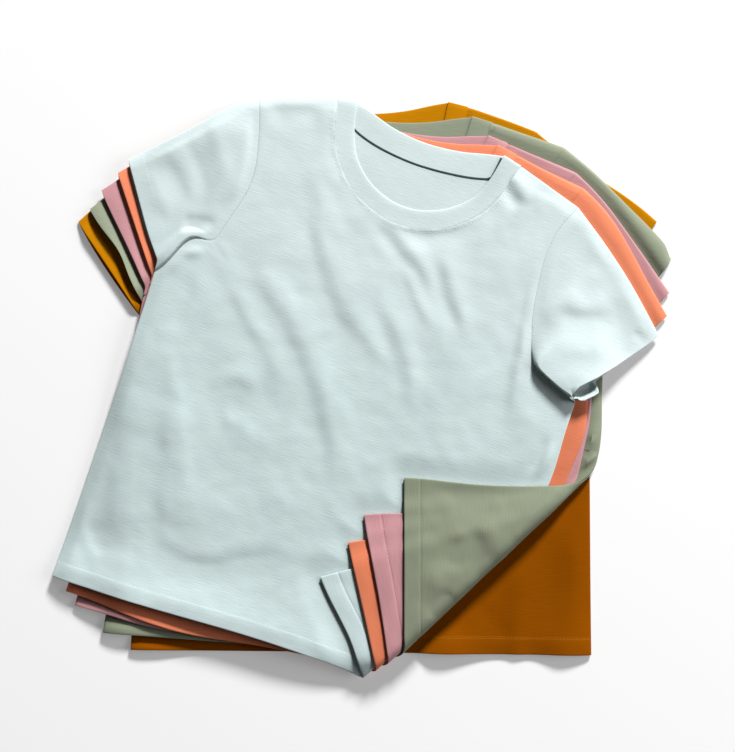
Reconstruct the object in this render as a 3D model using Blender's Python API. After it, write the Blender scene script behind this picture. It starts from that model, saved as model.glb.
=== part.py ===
# Five short-sleeved crew neck t-shirts laid face up in a fanned stack, with the lower right
# corner of the upper four turned back over the front.
# Frame: metres, +Z up, +Y towards the necks, the stack rests on z = 0.
import math

import bmesh
import bpy
import numpy as np
from mathutils import Vector
from mathutils.geometry import delaunay_2d_cdt

MM = 0.001

# Cut of one shirt, laid flat, in millimetres: across from the centre line, up from the hem.
HEM_HALF_WIDTH = 254.0
CHEST_HALF_WIDTH = 249.0
ARMPIT_HEIGHT = 354.0
SHOULDER_TIP = (187.5, 571.0)
NECK_POINT = (111.0, 595.0)
BAND_POINT = (89.0, 599.5)
CUFF_TOP = (318.0, 468.0)
CUFF_LOWER = (248.5, 363.5)
SIDE = [
    (HEM_HALF_WIDTH, 0.0),
    (251.5, 120.0),
    (249.5, 240.0),
    (CHEST_HALF_WIDTH, ARMPIT_HEIGHT),
]
ARMHOLE = [
    (CHEST_HALF_WIDTH, ARMPIT_HEIGHT),
    (234.0, 363.5),
    (217.0, 378.0),
    (191.0, 396.0),
    (174.0, 426.0),
    (167.0, 456.0),
    (166.5, 491.0),
    (168.5, 515.0),
    (174.5, 542.0),
    SHOULDER_TIP,
]
SLEEVE_TOP = [SHOULDER_TIP, (232.0, 540.0), (276.0, 505.5), CUFF_TOP]
FRONT_NECK_SEAM = [
    (0.0, 491.5),
    (25.0, 495.0),
    (57.8, 508.5),
    (86.0, 533.5),
    (101.0, 562.0),
    NECK_POINT,
]
FRONT_BAND_EDGE = [
    (0.0, 512.0),
    (22.0, 515.0),
    (48.0, 526.0),
    (70.5, 546.0),
    (82.0, 570.0),
    BAND_POINT,
]
BACK_NECK_SEAM = [
    (0.0, 558.5),
    (26.0, 560.0),
    (56.0, 564.5),
    (80.0, 572.0),
    (97.0, 582.0),
    NECK_POINT,
]
BACK_BAND_EDGE = [
    (0.0, 586.5),
    (22.0, 587.5),
    (45.0, 590.5),
    (63.0, 594.5),
    (77.0, 597.5),
    BAND_POINT,
]

# Cloth and its layers, in millimetres.
WALL = 1.0
LAYER_GAP = 0.4
SHIRT_GAP = 0.8
SEAM_GAP = 0.4
SHIRT_HEIGHT = 2 * WALL + LAYER_GAP + SHIRT_GAP
LEVELS = (0.0, WALL, WALL + LAYER_GAP, 2 * WALL + LAYER_GAP)

# Shirts from the bottom up: clockwise turn in degrees, middle of the hem in millimetres,
# stretch across and along, and lean of the turned-back corner.
SHIRTS = [
    dict(name="ochre", turn=0.7, hem=(-1.0, -290.6), wide=1.0, long=1.014, lean=0.0),
    dict(name="sage", turn=5.2, hem=(-23.3, -290.7), wide=1.016, long=1.002, lean=0.066),
    dict(name="mauve", turn=11.0, hem=(-62.3, -288.2), wide=1.003, long=0.991, lean=0.0),
    dict(name="coral", turn=14.6, hem=(-85.3, -285.6), wide=0.982, long=0.991, lean=-0.02),
    dict(name="blue", turn=18.0, hem=(-108.5, -281.3), wide=0.962, long=0.988, lean=-0.11),
]
# Where the cloth lies off its flat cut: place across and up, and shift to the right and up.
SHIFTS = dict(
    ochre=[(-318, 468, 0, -3), (318, 468, 3, 5)],
    sage=[(-254, 0, -5, 1), (254, 0, 7, -1), (249, 240, 6, 2)],
    mauve=[(-254, 0, -4, 2), (254, 0, 9, -7)],
    coral=[(-254, 0, 1, 2), (254, 0, 4, -2), (-318, 468, 2, -4)],
    blue=[(-120, 592, 2, 8), (-205, 565, -4, 9), (318, 468, 1, -10), (254, 0, -3, -8)],
)
SHIFT_REACH = 65.0
COLOURS = dict(
    ochre=(0.42, 0.17, 0.010),
    sage=(0.27, 0.30, 0.215),
    mauve=(0.45, 0.235, 0.25),
    coral=(0.78, 0.22, 0.10),
    blue=(0.56, 0.69, 0.68),
)

# Turned-back corner: direction and distance of the fold's outer edge, and the level of its axis.
FOLD_ANGLE = math.radians(43.34)
FOLD_EDGE = 241.6
FOLD_LEVEL = 16.8
FOLD_STEPS = 12
FOLD_SNAP = 0.02
ALONG = (math.cos(FOLD_ANGLE), math.sin(FOLD_ANGLE))
OUTWARD = (math.sin(FOLD_ANGLE), -math.cos(FOLD_ANGLE))
FOLD_AXIS = FOLD_EDGE - (FOLD_LEVEL - SHIRT_HEIGHT)

# Droop of the upper shirts where the lower ones end beneath them, read on one shared lattice
# of triangles, so that every layer bends along the same lines. It ends short of the fold.
LATTICE = 16.0
LATTICE_LOW = -32
LATTICE_COUNT = 65
PANEL_SNAP = 0.2
SLEEVE_SNAP = 0.02
DROOP_START = 23.0
DROOP_WIDTH = 45.0
DROOP_OFF_FOLD = 45.0
DROOP_FADE = 60.0

# Largest soft folds of the top shirt's front: path across and up, half width and height.
FRONT_FOLDS = [
    dict(path=[(-64, 575), (-40, 505), (5, 420), (62, 345), (112, 268)], half=17, rise=3.2),
    dict(path=[(-112, 470), (-66, 395), (-20, 318), (8, 230), (14, 170)], half=18, rise=3.0),
    dict(path=[(-150, 420), (-112, 350), (-80, 260), (-66, 170), (-62, 110)], half=19, rise=2.4),
    dict(path=[(20, 470), (55, 410), (92, 350)], half=14, rise=2.4),
    dict(path=[(150, 440), (135, 360), (128, 280)], half=20, rise=2.6),
    dict(path=[(-215, 300), (-214, 190), (-196, 100), (-150, 62), (-80, 50)], half=17, rise=2.8),
    dict(path=[(-150, 560), (-158, 520), (-162, 480)], half=13, rise=2.0),
]
FOLD_ENDS = 0.3
FOLDS_OFF_CORNER = 150.0
FOLDS_FADE = 50.0
FOLDS_OFF_EDGE = 25.0

# Rise of the top shirt's sleeves, and the run over which it fades at the top and at the seam.
SLEEVE_PUFF = 2.8
PUFF_FROM_TOP = 55.0
PUFF_FROM_SEAM = 40.0

# Merging of faces in one plane, and the angle that keeps a sharp edge.
SAME_PLANE = 0.0009
SHARP_ANGLE = math.radians(35)
BEND_STEPS = 4


def smooth(value):
    value = min(1.0, max(0.0, value))
    return value * value * (3 - 2 * value)


def mirrored(path):
    return [(-across, up) for across, up in reversed(path)]


def shifted(path, gap):
    """The path moved sideways, to its right as it runs."""
    moved = []
    for index, (x, y) in enumerate(path):
        before = path[max(index - 1, 0)]
        after = path[min(index + 1, len(path) - 1)]
        dx, dy = after[0] - before[0], after[1] - before[1]
        length = math.hypot(dx, dy)
        moved.append((x + gap * dy / length, y - gap * dx / length))
    return moved


def towards(start, end, distance):
    share = distance / math.hypot(end[0] - start[0], end[1] - start[1])
    return start[0] + share * (end[0] - start[0]), start[1] + share * (end[1] - start[1])


def distance_to_path(x, y, path):
    nearest, place = 1e9, 0.0
    for index in range(len(path) - 1):
        (ax, ay), (bx, by) = path[index], path[index + 1]
        dx, dy = bx - ax, by - ay
        share = min(1.0, max(0.0, ((x - ax) * dx + (y - ay) * dy) / (dx * dx + dy * dy)))
        away = math.hypot(x - ax - share * dx, y - ay - share * dy)
        if away < nearest:
            nearest, place = away, (index + share) / (len(path) - 1)
    return nearest, place


def placed(shirt, across, up):
    turn = math.radians(shirt["turn"])
    x, y = shirt["hem"]
    for at_across, at_up, right, upward in SHIFTS[shirt["name"]]:
        away = math.hypot(across - at_across, up - at_up) / SHIFT_REACH
        x += right * math.exp(-away * away)
        y += upward * math.exp(-away * away)
    across, up = across * shirt["wide"], up * shirt["long"]
    x += across * math.cos(turn) + up * math.sin(turn)
    y += up * math.cos(turn) - across * math.sin(turn)
    return x, y


def unplaced(shirt, x, y):
    """The place in the cut, near enough for soft folds."""
    turn = math.radians(shirt["turn"])
    dx, dy = x - shirt["hem"][0], y - shirt["hem"][1]
    across = (dx * math.cos(turn) - dy * math.sin(turn)) / shirt["wide"]
    up = (dx * math.sin(turn) + dy * math.cos(turn)) / shirt["long"]
    return across, up


def fold_reach(x, y):
    """How far a flat point lies past the fold's axis."""
    return x * OUTWARD[0] + y * OUTWARD[1] - FOLD_AXIS


def shirt_outline():
    right = SIDE[:-1] + [CUFF_LOWER, CUFF_TOP] + SLEEVE_TOP[-2:0:-1] + [SHOULDER_TIP, BAND_POINT]
    return right + mirrored(right)


def inside_depth(xs, ys, outline):
    """Distance inside an outline, negative outside."""
    depth = np.full(xs.shape, 1e9)
    inside = np.zeros(xs.shape, bool)
    for index, (ax, ay) in enumerate(outline):
        bx, by = outline[(index + 1) % len(outline)]
        dx, dy = bx - ax, by - ay
        share = np.clip(((xs - ax) * dx + (ys - ay) * dy) / (dx * dx + dy * dy), 0, 1)
        depth = np.minimum(depth, np.hypot(xs - ax - share * dx, ys - ay - share * dy))
        crosses = (ay > ys) != (by > ys)
        with np.errstate(divide="ignore", invalid="ignore"):
            inside ^= crosses & (xs < (bx - ax) * (ys - ay) / (by - ay) + ax)
    return np.where(inside, depth, -depth)


nodes = (np.arange(LATTICE_COUNT) + LATTICE_LOW) * LATTICE
node_x, node_y = np.meshgrid(nodes, nodes, indexing="ij")
fold_clear = np.clip((-fold_reach(node_x, node_y) - DROOP_OFF_FOLD) / DROOP_FADE, 0, 1)
fold_clear = fold_clear ** 2 * (3 - 2 * fold_clear)
DROOP = [np.zeros(node_x.shape)]
for lower in SHIRTS[:-1]:
    edge = [placed(lower, across, up) for across, up in shirt_outline()]
    depth = inside_depth(node_x, node_y, edge)
    share = np.clip((-depth - DROOP_START) / DROOP_WIDTH, 0, 1)
    share = share ** 2 * (3 - 2 * share) * fold_clear
    DROOP.append(DROOP[-1] + SHIRT_HEIGHT * share)


def droop(level, x, y):
    """How far a shirt hangs below its place in a full stack, flat on each lattice triangle."""
    column = x / LATTICE - LATTICE_LOW
    row = y / LATTICE - LATTICE_LOW
    i, j = int(math.floor(column)), int(math.floor(row))
    s, t = column - i, row - j
    grid = DROOP[level]
    if s + t <= 1:
        return float(grid[i, j] + s * (grid[i + 1, j] - grid[i, j]) + t * (grid[i, j + 1] - grid[i, j]))
    low, high = grid[i + 1, j + 1], 1 - s
    return float(low + high * (grid[i, j + 1] - low) + (1 - t) * (grid[i + 1, j] - low))


def folded(x, y, z, middle, lean):
    """Carries a flat point round the turned-back fold; middle is its layer's level."""
    s = x * ALONG[0] + y * ALONG[1]
    past = fold_reach(x, y)
    if past <= 0:
        return Vector((x, y, z)) * MM
    radius = FOLD_LEVEL - middle
    angle = past / radius
    if angle < math.pi:
        out = (FOLD_LEVEL - z) * math.sin(angle)
        height = FOLD_LEVEL - (FOLD_LEVEL - z) * math.cos(angle)
    else:
        past -= math.pi * radius
        out = -past
        s += lean * past
        height = 2 * FOLD_LEVEL - z
    out += FOLD_AXIS
    return Vector((s * ALONG[0] + out * OUTWARD[0], s * ALONG[1] + out * OUTWARD[1], height)) * MM


def front_rise(across, up, x, y):
    clear = smooth((-fold_reach(x, y) - FOLDS_OFF_CORNER) / FOLDS_FADE)
    rise = 0.0
    for fold in FRONT_FOLDS:
        away, place = distance_to_path(across, up, fold["path"])
        ends = smooth(place / FOLD_ENDS) * smooth((1 - place) / FOLD_ENDS)
        rise = max(rise, fold["rise"] * ends * math.exp(-(away / fold["half"]) ** 2))
    edge = min(CHEST_HALF_WIDTH - abs(across), up)
    return rise * clear * smooth(edge / FOLDS_OFF_EDGE)


def sleeve_rise(across, up):
    from_top, _ = distance_to_path(across, up, SLEEVE_TOP)
    from_seam, _ = distance_to_path(across, up, ARMHOLE + [CUFF_LOWER])
    return SLEEVE_PUFF * smooth(from_top / PUFF_FROM_TOP) * smooth(from_seam / PUFF_FROM_SEAM)


def before_fold(face):
    centre = face.calc_center_median()
    return fold_reach(centre.x, centre.y) < 0


def cut_by_line(mesh, point, normal, snap, part_only=False):
    """Cuts along a line; points within snap of it count as on it."""
    faces = [face for face in mesh.faces if before_fold(face)] if part_only else mesh.faces[:]
    edges = {edge for face in faces for edge in face.edges}
    verts = {vert for face in faces for vert in face.verts}
    bmesh.ops.bisect_plane(
        mesh,
        geom=list(verts) + list(edges) + faces,
        dist=snap,
        plane_co=Vector((point[0], point[1], 0)),
        plane_no=Vector((normal[0], normal[1], 0)),
    )


def flat_cloth(outline, inner=None):
    """One flat piece cut to an outline in the stack's plan, with an inner line if wanted."""
    points = [Vector(point) for point in outline]
    edges = [(index, (index + 1) % len(points)) for index in range(len(points))]
    if inner:
        start = len(points)
        points += [Vector(point) for point in inner]
        edges += [(start + index, start + index + 1) for index in range(len(inner) - 1)]
    found = delaunay_2d_cdt(points, edges, [], 1, 1e-4)
    mesh = bmesh.new()
    verts = [mesh.verts.new((point.x, point.y, 0)) for point in found[0]]
    for face in found[2]:
        mesh.faces.new([verts[index] for index in face])
    return mesh


def cut_lattice(mesh, snap, part_only=False):
    xs = [vert.co.x for vert in mesh.verts]
    ys = [vert.co.y for vert in mesh.verts]
    for step in range(math.ceil(min(xs) / LATTICE), math.floor(max(xs) / LATTICE) + 1):
        cut_by_line(mesh, (step * LATTICE, 0), (1, 0), snap, part_only)
    for step in range(math.ceil(min(ys) / LATTICE), math.floor(max(ys) / LATTICE) + 1):
        cut_by_line(mesh, (0, step * LATTICE), (0, 1), snap, part_only)
    sums = [vert.co.x + vert.co.y for vert in mesh.verts]
    for step in range(math.ceil(min(sums) / LATTICE), math.floor(max(sums) / LATTICE) + 1):
        cut_by_line(mesh, (step * LATTICE, 0), (1, 1), snap, part_only)


def cut_fold(mesh, middle):
    radius = FOLD_LEVEL - middle
    for step in range(FOLD_STEPS + 1):
        away = FOLD_AXIS + radius * math.pi * step / FOLD_STEPS
        cut_by_line(mesh, (away * OUTWARD[0], away * OUTWARD[1]), OUTWARD, FOLD_SNAP)


def solid_from(mesh, name, level, slots_of, middle, rise):
    """Builds the closed solid over a flat mesh; slots_of says which layers each face fills."""
    shirt = SHIRTS[level]
    bottom = level * SHIRT_HEIGHT
    solid = bmesh.new()
    made = {}
    mesh.verts.index_update()

    def corner(vert, rank):
        key = (vert.index, rank)
        if key not in made:
            x, y = vert.co.x, vert.co.y
            z = bottom + LEVELS[rank] - droop(level, x, y)
            if rank >= 2:
                z += rise(x, y)
            if level:
                place = folded(x, y, z, bottom + middle, shirt["lean"])
            else:
                place = Vector((x, y, z)) * MM
            made[key] = solid.verts.new(place)
        return made[key]

    filled = {face: slots_of(face) for face in mesh.faces}
    for face, slots in filled.items():
        loop = face.verts[:]
        if face.normal.z < 0:
            loop.reverse()
        for slot in range(3):
            if slots[slot] and not (slot < 2 and slots[slot + 1]):
                solid.faces.new([corner(vert, slot + 1) for vert in loop])
            if slots[slot] and not (slot > 0 and slots[slot - 1]):
                solid.faces.new([corner(vert, slot) for vert in reversed(loop)])
    for edge in mesh.edges:
        faces = edge.link_faces
        for face in faces:
            other = [filled[item] for item in faces if item is not face]
            beyond = other[0] if other else (False, False, False)
            loop = next(item for item in face.loops if item.edge == edge)
            first, second = loop.vert, loop.link_loop_next.vert
            if face.normal.z < 0:
                first, second = second, first
            for slot in range(3):
                if filled[face][slot] and not beyond[slot]:
                    solid.faces.new([
                        corner(first, slot),
                        corner(second, slot),
                        corner(second, slot + 1),
                        corner(first, slot + 1),
                    ])
    finish(solid, name, shirt["name"])


def finish(solid, name, cloth, tidy=True):
    solid.normal_update()
    if tidy:
        bmesh.ops.dissolve_limit(
            solid, angle_limit=SAME_PLANE, verts=solid.verts[:], edges=solid.edges[:]
        )
    bmesh.ops.triangulate(solid, faces=solid.faces[:])
    data = bpy.data.meshes.new(name)
    solid.to_mesh(data)
    solid.free()
    data.polygons.foreach_set("use_smooth", [True] * len(data.polygons))
    data.set_sharp_from_angle(angle=SHARP_ANGLE)
    thing = bpy.data.objects.new(name, data)
    bpy.context.scene.collection.objects.link(thing)
    data.materials.append(MATERIALS[cloth])


def cloth_material(name, colour):
    material = bpy.data.materials.new(name + "_jersey")
    material.use_nodes = True
    shader = material.node_tree.nodes["Principled BSDF"]
    shader.inputs["Base Color"].default_value = (*colour, 1)
    shader.inputs["Roughness"].default_value = 0.9
    shader.inputs["Metallic"].default_value = 0.0
    return material


def make_panel(level, name, neck_seam, slot):
    """A front (slot 2) or back (slot 0): the body's cut with armholes and its own neckline."""
    shirt = SHIRTS[level]
    armhole = shifted(ARMHOLE, -SEAM_GAP / 2)
    neck = shifted(neck_seam, SEAM_GAP / 2)
    right = SIDE[:-1] + armhole + neck[::-1]
    outline = right + mirrored(right[:-1])
    mesh = flat_cloth([placed(shirt, across, up) for across, up in outline])
    middle = LEVELS[0] + WALL / 2 if slot == 0 else LEVELS[2] + WALL / 2
    if level:
        cut_fold(mesh, level * SHIRT_HEIGHT + middle)
        cut_lattice(mesh, PANEL_SNAP, part_only=True)

    def rise(x, y):
        return front_rise(*unplaced(shirt, x, y), x, y) if shirt is SHIRTS[-1] else 0.0

    def slots_of(face):
        return (slot == 0, False, slot == 2)

    solid_from(mesh, name, level, slots_of, middle, rise)
    mesh.free()


def make_sleeve(level, name, side):
    """A flattened tube: two layers joined along the sleeve's top edge, in a strip one wall wide."""
    shirt = SHIRTS[level]
    armhole = shifted(ARMHOLE, SEAM_GAP / 2)
    top = [armhole[-1]] + SLEEVE_TOP[1:]
    inner = [towards(top[0], armhole[-2], WALL)]
    inner += shifted(top, WALL)[1:-1] + [towards(CUFF_TOP, CUFF_LOWER, WALL)]
    outline = armhole[:-1] + inner[:1] + top + inner[-1:] + [CUFF_LOWER]
    outline = [placed(shirt, side * across, up) for across, up in outline]
    top = [placed(shirt, side * across, up) for across, up in top]
    inner = [placed(shirt, side * across, up) for across, up in inner]
    mesh = flat_cloth(outline, inner)
    for face in mesh.faces:
        centre = face.calc_center_median()
        away, _ = distance_to_path(centre.x, centre.y, top)
        face.material_index = int(away < WALL * 0.75)
    if level:
        cut_lattice(mesh, SLEEVE_SNAP)

    def rise(x, y):
        across, up = unplaced(shirt, x, y)
        return sleeve_rise(side * across, up) if shirt is SHIRTS[-1] else 0.0

    def slots_of(face):
        return (True, face.material_index == 1, True)

    solid_from(mesh, name, level, slots_of, 0.0, rise)
    mesh.free()


def make_neckband(level, name):
    """A closed ring: front half on the front's level, bent over at the shoulders to the back's."""
    shirt = SHIRTS[level]
    bottom = level * SHIRT_HEIGHT
    stations = []
    front_seam = shifted(FRONT_NECK_SEAM, -SEAM_GAP / 2)
    back_seam = shifted(BACK_NECK_SEAM, -SEAM_GAP / 2)
    front_level = LEVELS[2] + WALL / 2
    back_level = LEVELS[0] + WALL / 2
    bend = (front_level - back_level) / 2
    for inner, outer in zip(FRONT_BAND_EDGE, front_seam):
        stations.append((inner, outer, front_level, 0.0, 0.0))
    for step in range(1, BEND_STEPS):
        angle = math.pi * step / BEND_STEPS
        out = bend * math.sin(angle)
        height = front_level - bend + bend * math.cos(angle)
        stations.append((BAND_POINT, front_seam[-1], height, out, angle))
    for inner, outer in zip(BACK_BAND_EDGE[::-1], back_seam[::-1]):
        stations.append((inner, outer, back_level, 0.0, math.pi))
    right = [(station, 1) for station in stations]
    left = [(station, -1) for station in stations[-2:0:-1]]
    solid = bmesh.new()
    rings = []
    for (inner, outer, height, out, angle), side in right + left:
        ring = []
        for (across, up), sign in ((inner, 1), (outer, 1), (outer, -1), (inner, -1)):
            outward = out + sign * WALL / 2 * math.sin(angle)
            x, y = placed(shirt, side * across, up + outward)
            z = bottom + height + sign * WALL / 2 * math.cos(angle) - droop(level, x, y)
            ring.append(solid.verts.new(Vector((x, y, z)) * MM))
        rings.append(ring)
    for index, ring in enumerate(rings):
        following = rings[(index + 1) % len(rings)]
        for step in range(4):
            after = (step + 1) % 4
            solid.faces.new([ring[step], ring[after], following[after], following[step]])
    bmesh.ops.recalc_face_normals(solid, faces=solid.faces[:])
    finish(solid, name, shirt["name"], tidy=False)


for thing in list(bpy.data.objects):
    bpy.data.objects.remove(thing, do_unlink=True)
MATERIALS = {name: cloth_material(name, colour) for name, colour in COLOURS.items()}

for level, shirt in enumerate(SHIRTS):
    cloth = shirt["name"]
    make_panel(level, cloth + "_back", BACK_NECK_SEAM, 0)
    make_panel(level, cloth + "_front", FRONT_NECK_SEAM, 2)
    make_sleeve(level, cloth + "_sleeve_left", -1)
    make_sleeve(level, cloth + "_sleeve_right", 1)
    make_neckband(level, cloth + "_neckband")
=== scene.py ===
import math

import bmesh
import bpy
import numpy as np
from mathutils import Matrix, Vector, noise
from mathutils.bvhtree import BVHTree


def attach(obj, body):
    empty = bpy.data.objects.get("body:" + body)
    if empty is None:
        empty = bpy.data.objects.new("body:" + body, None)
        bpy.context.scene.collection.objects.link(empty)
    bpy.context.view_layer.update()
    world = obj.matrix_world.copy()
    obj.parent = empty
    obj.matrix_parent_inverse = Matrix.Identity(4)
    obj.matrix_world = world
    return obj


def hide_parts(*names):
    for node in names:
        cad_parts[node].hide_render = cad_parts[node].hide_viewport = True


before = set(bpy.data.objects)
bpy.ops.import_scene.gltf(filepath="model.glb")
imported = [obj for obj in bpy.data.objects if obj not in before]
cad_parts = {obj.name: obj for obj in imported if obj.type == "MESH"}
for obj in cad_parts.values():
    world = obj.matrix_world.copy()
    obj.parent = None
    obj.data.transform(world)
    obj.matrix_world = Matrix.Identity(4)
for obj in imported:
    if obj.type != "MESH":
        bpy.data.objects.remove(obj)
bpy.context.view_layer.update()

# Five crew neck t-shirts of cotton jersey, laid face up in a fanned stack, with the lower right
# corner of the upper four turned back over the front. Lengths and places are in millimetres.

# Backs: the back of each shirt, one panel of jersey cut with armholes and a shallow neck, its hem
# turned up and stitched. The panels lie outside down, and only the turned-back corners show them.
MM = 0.001
SHOULDER_TIP = (187.5, 571.0)
NECK_POINT = (111.0, 595.0)
HEM_HALF_WIDTH = 254.0
SIDE = [(HEM_HALF_WIDTH, 0), (251.5, 120), (249.5, 240), (249, 354)]
ARMHOLE = [(249, 354), (234, 363.5), (217, 378), (191, 396), (174, 426), (167, 456),
           (166.5, 491), (168.5, 515), (174.5, 542), SHOULDER_TIP]
SLEEVE_TOP = [SHOULDER_TIP, (232, 540), (276, 505.5), (318, 468)]
CUFF_LOWER = (248.5, 363.5)
BAND_POINT = (89.0, 599.5)
BACK_NECK_SEAM = [(0, 561), (26, 562), (56, 565), (80, 570.5), (97, 579.5), NECK_POINT]
CUFF_TOP = SLEEVE_TOP[-1]

# Each shirt: clockwise turn, middle of its hem, stretch across and along, lean of its turned-back
# corner, where it lies off the flat cut in the plan, and where its cloth is eased within the cut
# (each a place across and up, the shift there, right and up, and for easing how far it reaches).
SHIRTS = [
    dict(name="ochre", turn=0.7, hem=(-1.0, -290.6), wide=1.0, long=1.014, lean=0.0,
         shifts=[(-318, 468, 0, -3), (318, 468, 3, 5)],
         eases=[(230, 540, -3, -4, 60)]),
    dict(name="sage", turn=5.2, hem=(-23.3, -290.7), wide=1.016, long=1.002, lean=0.066,
         shifts=[(-254, 0, -5, -1), (254, 0, 7, -1), (249, 240, 6, 2), (-318, 468, 2.5, -7),
                 (318, 468, 6, 0)],
         eases=[(252, 275, 6, 0, 55), (252, 340, 4, 0, 35), (-290, 416, 5, 2, 30),
                (318, 468, -5, -4, 12), (205, 560, 4.0, 5.2, 78)]),
    dict(name="mauve", turn=11.0, hem=(-62.3, -288.2), wide=1.003, long=0.991, lean=0.0,
         shifts=[(-254, 0, -4, 2), (254, 0, 9, -7), (-318, 468, 0, -9)],
         eases=[(250, 305, 9, 0, 55), (250, 235, 5, 0, 40), (-165, 0, 0, -7, 60),
                (205, 560, 4.1, 8.4, 75)]),
    dict(name="coral", turn=14.6, hem=(-85.3, -285.6), wide=0.982, long=0.991, lean=-0.02,
         shifts=[(-254, 0, 1, 2), (254, 0, 4, -2), (-318, 468, 2, -4), (318, 468, 2.6, -4)],
         eases=[(250, 315, 15, 0, 55), (250, 235, 5, 0, 40), (-125, 0, 0, -11, 95),
                (215, 552, 8.3, 8.8, 70)]),
    dict(name="blue", turn=18.0, hem=(-108.5, -281.3), wide=0.962, long=0.988, lean=-0.11,
         shifts=[(-120, 592, 2, 8), (-205, 565, -4, 9), (318, 468, 2, -5), (254, 0, -3, -8)],
         eases=[(-176, 436, -18, -3, 45), (-218, 379, -5, 26, 30), (-190, 398, 0, 7, 22),
                (-175, 530, -8, 0, 50), (172, 450, 7, 0, 50), (200, 392, 5, 0, 30),
                (250, 290, 5, 0, 50), (249, 358, 3, 9, 28), (285, 410, 0, 3, 40),
                (0, 0, 0, 5.6, 127), (128, 0, 0, -3.5, 30)]),
]
SHIFT_REACH = 65.0
TOP_LEVEL = len(SHIRTS) - 1

JERSEY_THICK = 0.7
SHIRT_HEIGHT = 3.2
SHIRT_MIDDLE = 1.2
LAYER_HALF = 0.7
EDGE_HALF = 0.36
EDGE_ROUND = 1.5
SEAM_GAP = 0.1
HEM_DEPTH = 18.0
CURVE_STEPS = 6
BESIDE_SHARE = 0.004
SHARP_ANGLE = math.radians(60)

FOLD_ANGLE = math.radians(43.34)
ALONG = (math.cos(FOLD_ANGLE), math.sin(FOLD_ANGLE))
OUTWARD = (math.sin(FOLD_ANGLE), -math.cos(FOLD_ANGLE))
FOLD_LEVEL = 16.8
FOLD_EDGE = 241.6
FOLD_AXIS = FOLD_EDGE - (FOLD_LEVEL - SHIRT_HEIGHT)
FOLD_LINES = 16
FOLD_LAYER = SHIRT_MIDDLE - LAYER_HALF


def ramp(value):
    value = np.clip(value, 0, 1)
    return value * value * (3 - 2 * value)


def rounded(away, radius):
    """Rises from 0 to 1 over the radius, as a quarter circle does."""
    short = 1 - np.clip(away / radius, 0, 1)
    return np.sqrt(1 - short * short)


def curve(points):
    """A smooth line through the points of a cut."""
    knots = np.array([points[0], *points, points[-1]], float)
    t = np.linspace(0, 1, CURVE_STEPS, endpoint=False)[:, None]
    line = []
    for a, b, c, d in zip(knots, knots[1:], knots[2:], knots[3:]):
        bend = t ** 2 * (2 * a - 5 * b + 4 * c - d) + t ** 3 * (3 * (b - c) + d - a)
        line.append(b + (t * (c - a) + bend) / 2)
    return np.vstack([*line, knots[-1:]])


def mirrored(line):
    return np.array(line, float)[::-1] * (-1, 1)


def whole_line(half):
    """A smooth line through the points of its right half and their mirror images."""
    return curve([*mirrored(half[1:]).tolist(), *half])


def points_at(line, shares):
    lengths = np.hypot(*np.diff(line, axis=0).T)
    places = np.concatenate([[0], np.cumsum(lengths)]) / lengths.sum()
    return np.interp(shares, places, line[:, 0]), np.interp(shares, places, line[:, 1])


def beside(line, shares, away):
    """Places beside a line, to the right of its run."""
    across, up = points_at(line, shares)
    ahead_x, ahead_y = points_at(line, shares + BESIDE_SHARE)
    behind_x, behind_y = points_at(line, shares - BESIDE_SHARE)
    run = np.hypot(ahead_x - behind_x, ahead_y - behind_y)
    return across + away * (ahead_y - behind_y) / run, up - away * (ahead_x - behind_x) / run


def nearest(across, up, line):
    """Distance to a line, the share of its length where that is, and the side (1 is left)."""
    lengths = np.hypot(*np.diff(line, axis=0).T)
    away, share, side = np.full(across.shape, 1e9), np.zeros(across.shape), np.ones(across.shape)
    run = 0.0
    for (ax, ay), (bx, by), length in zip(line, line[1:], lengths):
        if length == 0:
            continue
        dx, dy = (bx - ax) / length, (by - ay) / length
        along = np.clip((across - ax) * dx + (up - ay) * dy, 0, length)
        off_x, off_y = across - ax - along * dx, up - ay - along * dy
        here = np.hypot(off_x, off_y)
        closer = here < away
        away = np.where(closer, here, away)
        share = np.where(closer, (run + along) / lengths.sum(), share)
        side = np.where(closer, np.sign(dx * off_y - dy * off_x), side)
        run += length
    return away, share, side


def fading(away, reach):
    """1 at a line or place, and next to nothing beyond twice the reach."""
    return np.exp(-(away / reach) ** 2)


def pulled(rows, across, up):
    """How far the cloth is drawn to the right and up round each place in the rows."""
    right, upward = np.zeros(across.shape), np.zeros(across.shape)
    for at_across, at_up, to_right, to_up, reach in rows:
        near = fading(np.hypot(across - at_across, up - at_up), reach)
        right += to_right * near
        upward += to_up * near
    return right, upward


def eased(shirt, across, up):
    right, upward = pulled(shirt["eases"], across, up)
    return across + right, up + upward


def placed(shirt, across, up):
    """Where a place in the cut lies in the stack's plan."""
    across, up = eased(shirt, across, up)
    x, y = pulled([(*row, SHIFT_REACH) for row in shirt["shifts"]], across, up)
    across, up = across * shirt["wide"], up * shirt["long"]
    turn = math.radians(shirt["turn"])
    x += shirt["hem"][0] + across * math.cos(turn) + up * math.sin(turn)
    y += shirt["hem"][1] + up * math.cos(turn) - across * math.sin(turn)
    return x, y


def inside(x, y, outline):
    """Distance inside an outline, negative outside it."""
    depth, within = np.full(x.shape, 1e9), np.zeros(x.shape, bool)
    for (ax, ay), (bx, by) in zip(outline, np.roll(outline, -1, axis=0)):
        dx, dy = bx - ax, by - ay
        share = np.clip(((x - ax) * dx + (y - ay) * dy) / (dx * dx + dy * dy + 1e-12), 0, 1)
        depth = np.minimum(depth, np.hypot(x - ax - share * dx, y - ay - share * dy))
        if dy:
            crosses = (ay > y) != (by > y)
            within ^= crosses & (x < dx * (y - ay) / dy + ax)
    return np.where(within, depth, -depth)


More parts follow.
